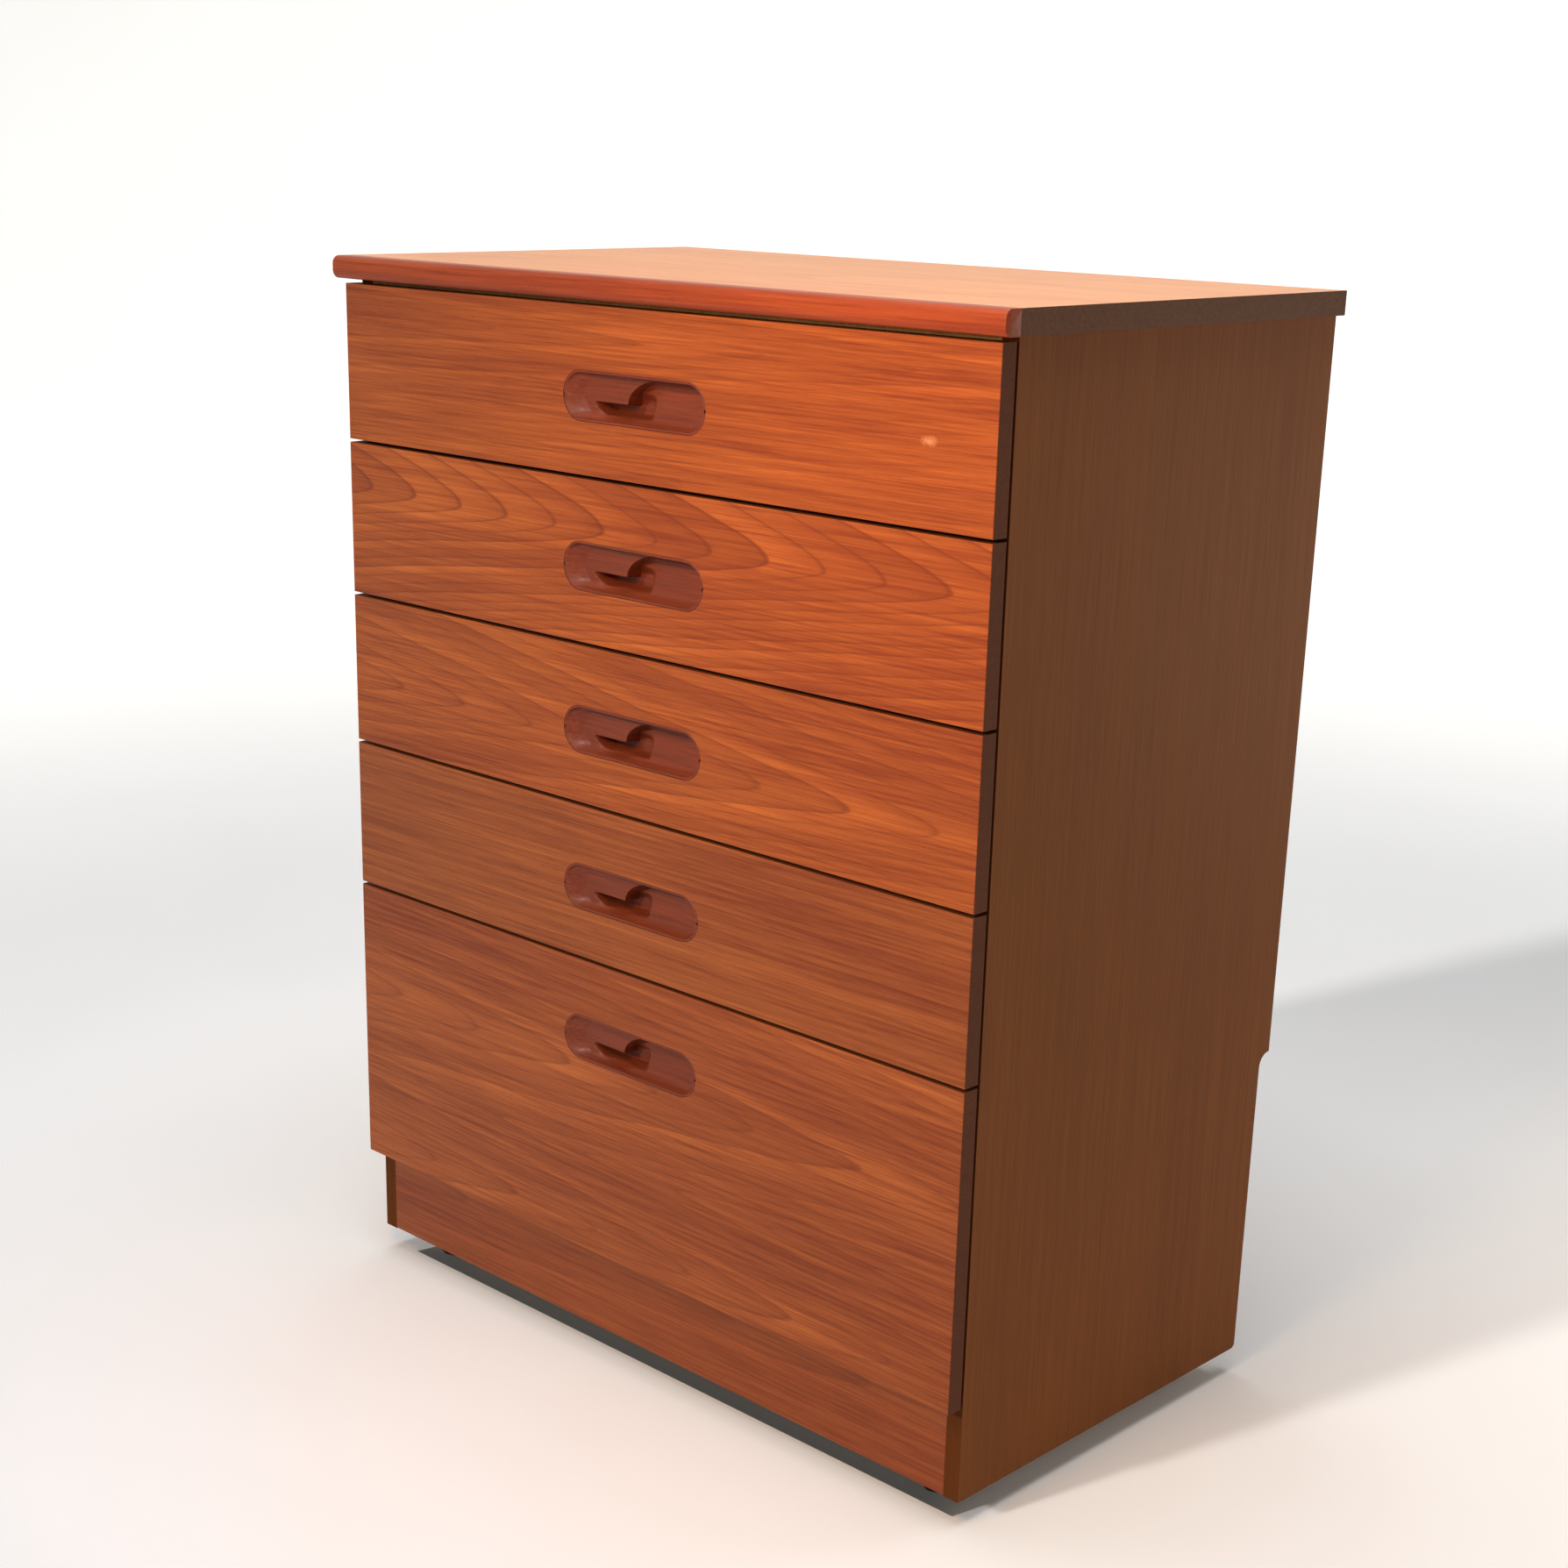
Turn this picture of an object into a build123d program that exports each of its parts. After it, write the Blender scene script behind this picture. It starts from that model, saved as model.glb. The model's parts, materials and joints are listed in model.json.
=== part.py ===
from build123d import *
import os

# Tall chest of drawers on hidden castors, in millimetres.
# Origin: on the floor, under the middle of the top. +Z is up and the drawers open towards -Y.
# Four equal drawers stand over a drawer of double height. Their fronts overlay the side panels.

# Case
case_width = 760.0          # over the two side panels
side_depth = 419.0          # side panel, front edge to back edge
board = 16.0                # side panels, plinths, castor board and rails
floor_gap = 25.0            # floor to the bottom edge of the side panels
plinth_show = 88.0          # side panel bottom to the lowest drawer front
plinth_rise = 8.0           # plinth carried up behind the lowest drawer front
plinth_lift = 1.0           # plinth bottom above the side panel bottom
rear_plinth_height = 74.0
rail_depth = 60.0           # rails under the top, front to back
skirting_depth = 14.0       # notch in the back of the side panels for a skirting board
skirting_height = 293.0     # notch, from the side panel bottom
skirting_radius = 13.0      # inner corner of the notch
heel_chamfer = 3.0          # lowest back corner of the side panels

# Top
top_thickness = 20.0
top_overhang = 8.0          # past the drawer fronts and past each side panel
lipping_depth = 18.0        # solid wood along the front of the top
lipping_radius = 7.0

# Back
back_thickness = 4.0
back_groove = 5.0           # depth of the side panels' groove
back_setback = 28.0         # side panel back edge to the back panel's rear face
back_foot = 5.0             # side panel bottom to the back panel's lower edge
groove_play = 0.2           # a groove is this much wider and deeper than what it holds

# Drawer fronts
small_front = 139.0
deep_front = 281.0
front_thickness = 16.0
front_gap = 3.0             # between two drawer fronts
top_gap = 4.0               # between the highest drawer front and the top
standoff = 3.0              # drawer fronts to the side panels' front edges
front_arris = 0.8           # rounding of the drawer fronts' outer edges

# Drawer boxes
small_box = 100.0           # height of the sides
deep_box = 220.0
box_depth = 380.0           # from the back of the drawer front
box_board = 12.0            # drawer sides and backs
box_lift = 14.0             # drawer front's lower edge to the box
side_play = 2.0             # drawer side to side panel
bottom_thickness = 4.0
bottom_lift = 8.0           # box's lower edge to the drawer bottom
bottom_groove = 6.0

# Runners, which the drawer sides' grooves slide on
runner_thickness = 8.0
runner_height = 13.0
runner_length = 370.0
runner_setback = 8.0        # side panel front edge to the runner's front end
runner_drop = 50.0          # top edge of the drawer side to the middle of the runner
runner_play = 0.4           # groove to runner, all round
runner_screw_inset = 30.0   # from each end of the runner

# Handles: shaped inserts glued into the drawer fronts
handle_length = 169.0
handle_height = 42.0
handle_drop = 73.5          # top edge of the drawer front to the middle of the handle
handle_thickness = 28.0
handle_rim = 2.0
handle_shelf = 11.0         # depth of the shelf at the upper left
handle_pocket = 23.0        # depth of the finger pocket
pocket_start = -50.0        # left end of the pocket, from the handle's middle
pocket_lip = -6.0           # height of the straight part of the lip, from the handle's middle
lip_turn = -14.0            # where the lip starts to rise
lip_rise = 52.0             # length of the rising, elliptical part of the lip
glue_line = 0.1

# Castors
wheel_radius = 18.0
wheel_width = 14.0
wheel_edge = 2.5
hub_recess = 2.0
hub_radius = 7.0
rim_wall = 4.0              # tread thickness outside the recess
wheel_play = 0.6            # wheel to fork cheek
axle_radius = 2.5
axle_head_radius = 4.0
axle_head = 1.5
running_play = 0.06         # radial clearance of a turning fit
castor_trail = 14.0         # swivel axis to axle
castor_turn = 20.0          # degrees that the forks stand turned from straight ahead
castor_inset = 35.0         # swivel axis from the plinths
castor_side_inset = 58.0    # swivel axis from the outside of the side panel
fork_steel = 1.5
fork_radius = 15.0
fork_eye = 6.0              # radius of the cheek round the axle
fork_headroom = 3.0         # wheel top to the underside of the fork
swivel_gap = 0.8            # fork to plate
kingpin_radius = 3.0
kingpin_head_radius = 6.0
kingpin_head = 1.2
plate_size = 42.0
plate_steel = 2.0
plate_corner = 5.0
plate_screw_spacing = 30.0

# Countersunk wood screws
screw_radius = 1.75
screw_head_radius = 3.4
screw_head = 2.4
screw_play = 0.15
runner_screw_length = 20.0
castor_screw_length = 13.0

# Heights
side_height = plinth_show + 4 * (small_front + front_gap) + deep_front + top_gap
side_top = floor_gap + side_height
top_of_top = side_top + top_thickness
castor_top = 2 * wheel_radius + fork_headroom + fork_steel + swivel_gap + plate_steel

# Depths, front to back
total_depth = top_overhang + front_thickness + standoff + side_depth
lip_y = -total_depth / 2
face_y = lip_y + top_overhang
front_back_y = face_y + front_thickness
side_y = front_back_y + standoff
rear_y = side_y + side_depth
heel_y = rear_y - skirting_depth
back_y = rear_y - back_setback
back_face_y = back_y - back_thickness
plinth_y = side_y + board
rear_plinth_y = back_face_y - board
box_rear_y = front_back_y + box_depth

# Widths
half_width = case_width / 2
inner_half = half_width - board
top_half = half_width + top_overhang
box_half = inner_half - side_play
box_inner_half = box_half - box_board
groove_depth = runner_thickness - side_play + runner_play

os.makedirs("parts", exist_ok=True)


def save(piece, name):
    """Label a finished piece and write it as its own STEP file."""
    piece.part.label = name
    export_step(piece.part, f"parts/{name}.step")


def block(x, y, z):
    """A plain rectangular board between the low and high value of x, y and z."""
    with BuildPart() as piece:
        with BuildSketch(Plane.XY.offset(z[0])):
            with Locations(((x[0] + x[1]) / 2, (y[0] + y[1]) / 2)):
                Rectangle(x[1] - x[0], y[1] - y[0])
        extrude(amount=z[1] - z[0])
    return piece


def facing(y, z=0.0):
    """The upright plane at depth y that faces the front; its sketches are in x and height above z."""
    return Plane(origin=(0, y, z), x_dir=(1, 0, 0), z_dir=(0, -1, 0))


def screw(length, play=0.0):
    """A countersunk screw down -Z, its flat head at the origin; play makes the bore it needs."""
    with BuildPart() as piece:
        with BuildSketch(Plane.XZ):
            with BuildLine():
                Polyline(
                    (0, 0),
                    (screw_head_radius + play, 0),
                    (screw_radius + play, -screw_head),
                    (screw_radius + play, -length - play),
                    (0, -length - play),
                    close=True,
                )
            make_face()
        revolve(axis=Axis.Z)
    return piece.part


def drawer_stack():
    """Each drawer from the top down: number, front's lower edge, front height and box height."""
    rows = []
    edge = side_top - top_gap
    for number in range(1, 6):
        deep = number == 5
        height = deep_front if deep else small_front
        edge -= height
        rows.append((number, edge, height, deep_box if deep else small_box))
        edge -= front_gap
    return rows


def runner_z(edge, box_height):
    """Height of the middle of the runner of a drawer whose front ends at edge."""
    return edge + box_lift + box_height - runner_drop


# Runner screws point outwards into both side panels
runner_y = side_y + runner_setback
runner_screw_y = (
    runner_y + runner_screw_inset,
    runner_y + runner_length / 2,
    runner_y + runner_length - runner_screw_inset,
)
runner_screw_places = [
    Location((sign * (inner_half - runner_thickness), y, runner_z(edge, height)), (0, -90 * sign, 0))
    for _, edge, _, height in drawer_stack()
    for y in runner_screw_y
    for sign in (-1, 1)
]

# Castor screws point up into the castor board
castor_x = half_width - castor_side_inset
castor_places = {
    "front_left": (-castor_x, plinth_y + castor_inset),
    "front_right": (castor_x, plinth_y + castor_inset),
    "rear_left": (-castor_x, rear_plinth_y - castor_inset),
    "rear_right": (castor_x, rear_plinth_y - castor_inset),
}


def plate_screws(x, y):
    """Places of the four screws of the castor whose swivel axis is at x, y."""
    half = plate_screw_spacing / 2
    head_z = castor_top - plate_steel
    return [Location((x + i * half, y + j * half, head_z), (180, 0, 0)) for i in (-1, 1) for j in (-1, 1)]


castor_screw_places = [place for x, y in castor_places.values() for place in plate_screws(x, y)]

runner_bore = screw(runner_screw_length, screw_play)
castor_bore = screw(castor_screw_length, screw_play)

# Side panels: 16 mm boards with a skirting notch, a groove for the back and pilot holes
with BuildPart() as right_side_panel:
    with BuildSketch(Plane.YZ.offset(inner_half)):
        with BuildLine():
            notch_z = floor_gap + skirting_height
            Polyline(
                (heel_y, notch_z - skirting_radius),
                (heel_y, floor_gap + heel_chamfer),
                (heel_y - heel_chamfer, floor_gap),
                (side_y, floor_gap),
                (side_y, side_top),
                (rear_y, side_top),
                (rear_y, notch_z),
                (heel_y + skirting_radius, notch_z),
            )
            RadiusArc(
                (heel_y + skirting_radius, notch_z),
                (heel_y, notch_z - skirting_radius),
                -skirting_radius,
            )
        make_face()
    extrude(amount=board)
    with BuildSketch(Plane.YZ.offset(inner_half)):
        with Locations((back_y - (back_thickness + groove_play) / 2, (floor_gap + side_top) / 2)):
            Rectangle(back_thickness + groove_play, side_height)
    extrude(amount=back_groove + groove_play, mode=Mode.SUBTRACT)
    with Locations(*runner_screw_places):
        add(runner_bore, mode=Mode.SUBTRACT)
save(right_side_panel, "right_side_panel")

with BuildPart() as left_side_panel:
    mirror(right_side_panel.part, about=Plane.YZ)
save(left_side_panel, "left_side_panel")

# Top: a veneered panel with a rounded strip of solid wood along the front
top_panel = block((-top_half, top_half), (lip_y + lipping_depth, rear_y), (side_top, top_of_top))
save(top_panel, "top_panel")

with BuildPart() as top_front_lipping:
    with BuildSketch(Plane.XY.offset(side_top)):
        with Locations((0, lip_y + lipping_depth / 2)):
            Rectangle(2 * top_half, lipping_depth)
    extrude(amount=top_thickness)
    front_edges = top_front_lipping.faces().sort_by(Axis.Y)[0].edges().filter_by(Axis.X)
    fillet(front_edges, radius=lipping_radius)
save(top_front_lipping, "top_front_lipping")

# Back panel, held in the side panels' grooves
back_reach = inner_half + back_groove
back_panel = block((-back_reach, back_reach), (back_face_y, back_y), (floor_gap + back_foot, side_top))
save(back_panel, "back_panel")

# Boards between the side panels
across = (-inner_half, inner_half)
plinth_bottom = floor_gap + plinth_lift
plinth_top = floor_gap + plinth_show + plinth_rise
plinth = block(across, (side_y, plinth_y), (plinth_bottom, plinth_top))
save(plinth, "plinth")

rear_plinth = block(across, (rear_plinth_y, back_face_y), (plinth_bottom, plinth_bottom + rear_plinth_height))
save(rear_plinth, "rear_plinth")

with BuildPart() as castor_board:
    with BuildSketch(Plane.XY.offset(castor_top)):
        with Locations((0, (plinth_y + rear_plinth_y) / 2)):
            Rectangle(2 * inner_half, rear_plinth_y - plinth_y)
    extrude(amount=board)
    with Locations(*castor_screw_places):
        add(castor_bore, mode=Mode.SUBTRACT)
save(castor_board, "castor_board")

rail_z = (side_top - board, side_top)
top_front_rail = block(across, (side_y, side_y + rail_depth), rail_z)
save(top_front_rail, "top_front_rail")

top_rear_rail = block(across, (back_face_y - rail_depth, back_face_y), rail_z)
save(top_rear_rail, "top_rear_rail")

# Runners: one hardwood strip on each side panel for each drawer, screwed from inside
with BuildPart() as drawer_runners:
    for _, edge, _, height in drawer_stack():
        for sign in (-1, 1):
            with BuildSketch(Plane.XY.offset(runner_z(edge, height) - runner_height / 2)):
                with Locations((sign * (inner_half - runner_thickness / 2), runner_y + runner_length / 2)):
                    Rectangle(runner_thickness, runner_length)
            extrude(amount=runner_height)
    with Locations(*runner_screw_places):
        add(runner_bore, mode=Mode.SUBTRACT)
save(drawer_runners, "drawer_runners")

with BuildPart() as runner_screws:
    with Locations(*runner_screw_places):
        add(screw(runner_screw_length))
save(runner_screws, "runner_screws")

with BuildPart() as castor_screws:
    with Locations(*castor_screw_places):
        add(screw(castor_screw_length))
save(castor_screws, "castor_screws")


def handle_outline(inset, mode=Mode.ADD):
    """The handle's stadium, drawn in the current sketch and made smaller by inset all round."""
    SlotOverall(handle_length - 2 * inset, handle_height - 2 * inset, mode=mode)


def drawer_front(name, edge, height):
    """A veneered front with a hole for the handle and a groove for the drawer bottom."""
    handle_z = edge + height - handle_drop
    groove_z = edge + box_lift + bottom_lift
    with BuildPart() as front:
        with BuildSketch(facing(face_y, edge + height / 2)):
            Rectangle(case_width, height)
        extrude(amount=-front_thickness)
        fillet(front.faces().sort_by(Axis.Y)[0].edges(), radius=front_arris)
        with BuildSketch(facing(face_y, handle_z)):
            handle_outline(-glue_line)
        extrude(amount=-front_thickness, mode=Mode.SUBTRACT)
        with BuildSketch(facing(front_back_y, groove_z + (bottom_thickness + groove_play) / 2)):
            Rectangle(2 * (box_inner_half + bottom_groove), bottom_thickness + groove_play)
        extrude(amount=bottom_groove, mode=Mode.SUBTRACT)
    save(front, name)


def drawer_side(name, sign, edge, box_height):
    """A drawer side, grooved outside for its runner and inside for the drawer bottom."""
    low = edge + box_lift
    groove_y = runner_y - runner_play
    with BuildPart() as side:
        with BuildSketch(Plane.XY.offset(low)):
            with Locations((sign * (box_half - box_board / 2), front_back_y + box_depth / 2)):
                Rectangle(box_board, box_depth)
        extrude(amount=box_height)
        with BuildSketch(Plane.XY.offset(runner_z(edge, box_height) - runner_height / 2 - runner_play)):
            with Locations((sign * (box_half - groove_depth / 2), (groove_y + box_rear_y) / 2)):
                Rectangle(groove_depth, box_rear_y - groove_y)
        extrude(amount=runner_height + 2 * runner_play, mode=Mode.SUBTRACT)
        with BuildSketch(Plane.XY.offset(low + bottom_lift)):
            with Locations((sign * (box_inner_half + bottom_groove / 2), front_back_y + box_depth / 2)):
                Rectangle(bottom_groove, box_depth)
        extrude(amount=bottom_thickness + groove_play, mode=Mode.SUBTRACT)
    save(side, name)


def drawer_handle(name, edge, height):
    """A hollowed insert: a shelf at the upper left, and a finger pocket under an S-shaped lip."""
    rim_half = handle_height / 2 - handle_rim
    lip_end = lip_turn + lip_rise
    pocket_end = handle_length / 2
    face = facing(face_y, edge + height - handle_drop)
    with BuildPart() as handle:
        with BuildSketch(face):
            handle_outline(0)
        extrude(amount=-handle_thickness)
        with BuildSketch(face):
            handle_outline(handle_rim)
        extrude(amount=-handle_shelf, mode=Mode.SUBTRACT)
        with BuildSketch(face):
            with BuildLine():
                Polyline(
                    (lip_end, rim_half),
                    (pocket_end, rim_half),
                    (pocket_end, -rim_half),
                    (pocket_start, -rim_half),
                    (pocket_start, pocket_lip),
                    (lip_turn, pocket_lip),
                )
                EllipticalCenterArc((lip_end, pocket_lip), lip_rise, rim_half - pocket_lip, 90, arc_size=90)
            make_face()
            handle_outline(handle_rim, Mode.INTERSECT)
        extrude(amount=-handle_pocket, mode=Mode.SUBTRACT)
    save(handle, name)


def make_drawer(number, edge, height, box_height):
    """The six pieces of one drawer."""
    name = f"drawer_{number}"
    low = edge + box_lift
    bottom_top = low + bottom_lift + bottom_thickness
    bottom_half = box_inner_half + bottom_groove - groove_play
    bottom_y = front_back_y - bottom_groove + groove_play
    drawer_front(f"{name}_front", edge, height)
    drawer_side(f"{name}_left_side", -1, edge, box_height)
    drawer_side(f"{name}_right_side", 1, edge, box_height)
    back = block(
        (-box_inner_half, box_inner_half),
        (box_rear_y - box_board, box_rear_y),
        (bottom_top, low + box_height),
    )
    save(back, f"{name}_back")
    bottom = block(
        (-bottom_half, bottom_half),
        (bottom_y, box_rear_y),
        (bottom_top - bottom_thickness, bottom_top),
    )
    save(bottom, f"{name}_bottom")
    drawer_handle(f"{name}_handle", edge, height)


for row in drawer_stack():
    make_drawer(*row)


def castor_frame(x, y):
    """The castor's upright plane: its sketch x runs along the trail, its y up, its normal along the axle."""
    swivel = Plane(origin=(x, y, 0), x_dir=(0, -1, 0)).rotated((0, 0, castor_turn))
    return Plane(origin=(x, y, 0), x_dir=swivel.x_dir, z_dir=-swivel.y_dir)


def castor_plate(name, x, y):
    """A steel plate screwed under the castor board, with the kingpin riveted through it."""
    plate_z = castor_top - plate_steel
    fork_low = plate_z - swivel_gap - fork_steel
    with BuildPart() as plate:
        with BuildSketch(Plane.XY.offset(plate_z)):
            with Locations((x, y)):
                RectangleRounded(plate_size, plate_size, plate_corner)
        extrude(amount=plate_steel)
        with BuildSketch(Plane.XY.offset(fork_low - running_play)):
            with Locations((x, y)):
                Circle(kingpin_radius)
        extrude(amount=plate_z - fork_low + running_play)
        with BuildSketch(Plane.XY.offset(fork_low - running_play)):
            with Locations((x, y)):
                Circle(kingpin_head_radius)
        extrude(amount=-kingpin_head)
        with Locations(*plate_screws(x, y)):
            add(castor_bore, mode=Mode.SUBTRACT)
    save(plate, name)


def castor_fork(name, x, y):
    """A pressed fork: a round crown on the kingpin and two cheeks that taper down to the axle."""
    frame = castor_frame(x, y)
    crown_z = 2 * wheel_radius + fork_headroom
    cheek = wheel_width / 2 + wheel_play
    with BuildPart() as fork:
        with BuildSketch(Plane.XY.offset(crown_z)):
            with Locations((x, y)):
                Circle(fork_radius)
        extrude(amount=fork_steel)
        for side in (-1, 1):
            with BuildSketch(frame.offset(side * cheek)):
                with Locations((castor_trail, wheel_radius)):
                    Circle(fork_eye)
                with Locations((0, crown_z + fork_steel / 2)):
                    Rectangle(2 * fork_radius * 0.8, fork_steel)
                make_hull()
            extrude(amount=side * fork_steel)
        with BuildSketch(Plane.XY.offset(crown_z)):
            with Locations((x, y)):
                Circle(kingpin_radius + running_play)
        extrude(amount=fork_steel, mode=Mode.SUBTRACT)
        with BuildSketch(frame):
            with Locations((castor_trail, wheel_radius)):
                Circle(axle_radius + running_play)
        extrude(amount=cheek + fork_steel, both=True, mode=Mode.SUBTRACT)
    save(fork, name)


def castor_wheel(name, x, y):
    """A moulded wheel with rounded tread edges, dished faces, a hub and a bore."""
    frame = castor_frame(x, y)
    half = wheel_width / 2
    with BuildPart() as wheel:
        with BuildSketch(frame):
            with Locations((castor_trail, wheel_radius)):
                Circle(wheel_radius)
        extrude(amount=half, both=True)
        fillet(wheel.edges().filter_by(GeomType.CIRCLE), radius=wheel_edge)
        for side in (-1, 1):
            with BuildSketch(frame.offset(side * half)):
                with Locations((castor_trail, wheel_radius)):
                    Circle(wheel_radius - rim_wall)
                    Circle(hub_radius, mode=Mode.SUBTRACT)
            extrude(amount=-side * hub_recess, mode=Mode.SUBTRACT)
        with BuildSketch(frame):
            with Locations((castor_trail, wheel_radius)):
                Circle(axle_radius + running_play)
        extrude(amount=half, both=True, mode=Mode.SUBTRACT)
    save(wheel, name)


def castor_axle(name, x, y):
    """A riveted axle through both cheeks of the fork."""
    frame = castor_frame(x, y)
    reach = wheel_width / 2 + wheel_play + fork_steel
    with BuildPart() as axle:
        with BuildSketch(frame):
            with Locations((castor_trail, wheel_radius)):
                Circle(axle_radius)
        extrude(amount=reach, both=True)
        for side in (-1, 1):
            with BuildSketch(frame.offset(side * reach)):
                with Locations((castor_trail, wheel_radius)):
                    Circle(axle_head_radius)
            extrude(amount=side * axle_head)
    save(axle, name)


for corner, (x, y) in castor_places.items():
    castor_plate(f"{corner}_castor_plate", x, y)
    castor_fork(f"{corner}_castor_fork", x, y)
    castor_wheel(f"{corner}_castor_wheel", x, y)
    castor_axle(f"{corner}_castor_axle", x, y)
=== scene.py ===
import json
import math

import bmesh
import bpy
import numpy as np
from mathutils import Matrix, Vector


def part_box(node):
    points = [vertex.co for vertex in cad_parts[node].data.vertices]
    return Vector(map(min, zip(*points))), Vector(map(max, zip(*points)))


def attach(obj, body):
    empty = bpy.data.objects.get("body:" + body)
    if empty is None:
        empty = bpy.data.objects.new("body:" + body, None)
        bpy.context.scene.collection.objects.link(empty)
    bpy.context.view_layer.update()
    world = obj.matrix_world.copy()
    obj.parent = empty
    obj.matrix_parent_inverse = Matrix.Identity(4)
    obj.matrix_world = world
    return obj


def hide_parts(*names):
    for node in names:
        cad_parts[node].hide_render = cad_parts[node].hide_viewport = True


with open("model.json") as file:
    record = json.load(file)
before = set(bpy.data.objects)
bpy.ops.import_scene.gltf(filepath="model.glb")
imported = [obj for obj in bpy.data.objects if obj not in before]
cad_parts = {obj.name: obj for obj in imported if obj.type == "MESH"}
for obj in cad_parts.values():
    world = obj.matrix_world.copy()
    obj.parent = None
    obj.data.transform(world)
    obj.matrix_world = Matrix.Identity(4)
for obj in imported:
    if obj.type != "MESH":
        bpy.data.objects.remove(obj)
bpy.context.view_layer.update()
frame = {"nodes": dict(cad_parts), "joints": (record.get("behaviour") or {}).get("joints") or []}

MM = 0.001
DRAWERS = range(1, 6)
CORNERS = ("front_left", "front_right", "rear_left", "rear_right")


# ---------------------------------------------------------------- colours and nodes


def linear(hex_colour):
    """An sRGB hex colour as linear RGBA."""
    channels = [int(hex_colour[i : i + 2], 16) / 255 for i in (1, 3, 5)]
    decoded = (c / 12.92 if c <= 0.04045 else ((c + 0.055) / 1.055) ** 2.4 for c in channels)
    return (*decoded, 1.0)


def add(tree, kind, inputs=(), out=0, stops=(), **settings):
    """Adds a shader node with its settings and links, and gives one of its outputs.

    inputs holds sockets or constants, in order or keyed by name or number. stops are a ramp's
    positions and greys.
    """
    node = tree.nodes.new("ShaderNode" + kind)
    for key, value in settings.items():
        setattr(node, key, value)
    for key, value in inputs.items() if isinstance(inputs, dict) else enumerate(inputs):
        if isinstance(value, bpy.types.NodeSocket):
            tree.links.new(value, node.inputs[key])
        else:
            node.inputs[key].default_value = value
    for number, (position, grey) in enumerate(stops):
        elements = node.color_ramp.elements
        element = elements[number] if number < 2 else elements.new(position)
        element.position, element.color = position, (grey, grey, grey, 1.0)
    return node.outputs[out] if node.outputs else None


def new_material(name):
    """A material with an empty node tree, its tree, and the object's own coordinates."""
    material = bpy.data.materials.new(name)
    material.use_nodes = True
    tree = material.node_tree
    tree.nodes.clear()
    return material, tree, add(tree, "TexCoord", out=3)


def drawn_out(tree, place, grain, along, across, detail=3.0, rough=0.55, seed=0.0):
    """Noise drawn out along the grain: along and across are the sizes of its marks in mm."""
    scale = tuple(1 / (MM * (along if axis == grain else across)) for axis in "XYZ")
    moved = add(tree, "Mapping", {0: place, 1: (seed, 1.7 * seed, 0.6 * seed), 3: scale})
    noise = {"Vector": moved, "Scale": 1.0, "Detail": detail, "Roughness": rough}
    return add(tree, "TexNoise", noise)


# ---------------------------------------------------------------- wood


def growth_rings(tree, place, grain, figure):
    """Dark late-wood lines of a flat-sawn leaf.

    A leaf cut from a tapering log shows rings where sqrt(across^2 + heart^2) + taper * along is a
    whole number of ring widths, across being the distance from the heart line. That draws nested
    arches whose tips point down the grain near the heart, and straight lines far from it. lean
    crowds the lines on the low side of the heart. Slow noise bends them, and each ring has its own
    strength and tone.
    """
    # how softly the arches of two hearts run into each other, in mm
    merge = 12.0
    # darkness of a ring's line, from the strongest ring to the weakest, and of a ring's own tone
    strongest, weakest, own_tone = 0.70, 0.35, 0.48
    # places within one ring and their darkness; the ramp's own two stops come first
    profile = (
        (0.0, 0.10), (0.94, 1.0), (0.10, 0.0), (0.55, 0.14),
        (0.86, 0.42), (0.985, 0.55), (1.0, 0.10),
    )
    axes = add(tree, "SeparateXYZ", (place,)).node.outputs
    along = axes["XYZ".index(grain)]
    across = axes[2 if grain == "X" else 1]
    seed = figure["seed"]
    bend = drawn_out(tree, place, grain, 450.0, 140.0, detail=2.0, seed=seed)
    swing = 0.5 * figure["bend"] * MM
    bend = add(tree, "MapRange", {0: bend, 3: -swing, 4: swing})
    heart = (figure["heart"] * MM) ** 2
    reach = None
    for line, lead in figure["hearts"]:
        away = add(tree, "Math", (across, -line * MM), operation="ADD")
        away = add(tree, "Math", (away, bend), operation="ADD")
        under = add(tree, "Math", (away, 0.0), operation="MINIMUM")
        away = add(tree, "Math", (under, figure.get("lean", 0.0), away), operation="MULTIPLY_ADD")
        away = add(tree, "Math", (away, away, heart), operation="MULTIPLY_ADD")
        away = add(tree, "Math", (away,), operation="SQRT")
        away = add(tree, "Math", (away, lead * MM), operation="ADD")
        if reach:
            away = add(tree, "Math", (reach, away, merge * MM), operation="SMOOTH_MIN")
        reach = away
    reach = add(tree, "Math", (along, figure["taper"], reach), operation="MULTIPLY_ADD")
    count = add(tree, "Math", (reach, figure["ring"] * MM), operation="DIVIDE")
    wander = drawn_out(tree, place, grain, 200.0, 45.0, detail=2.0, seed=seed + 3.1)
    count = add(tree, "Math", (wander, figure["wander"], count), operation="MULTIPLY_ADD")
    within = add(tree, "Math", (count,), operation="FRACT")
    line = add(tree, "ValToRGB", (within,), stops=profile)
    whole = add(tree, "Math", (count,), operation="FLOOR")
    own = add(tree, "TexWhiteNoise", {"W": whole}, noise_dimensions="1D")
    strength = add(tree, "MapRange", {0: own, 3: strongest, 4: weakest})
    line = add(tree, "Math", (line, strength), operation="MULTIPLY")
    return add(tree, "Math", (own, own_tone, line), operation="MULTIPLY_ADD")


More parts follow.
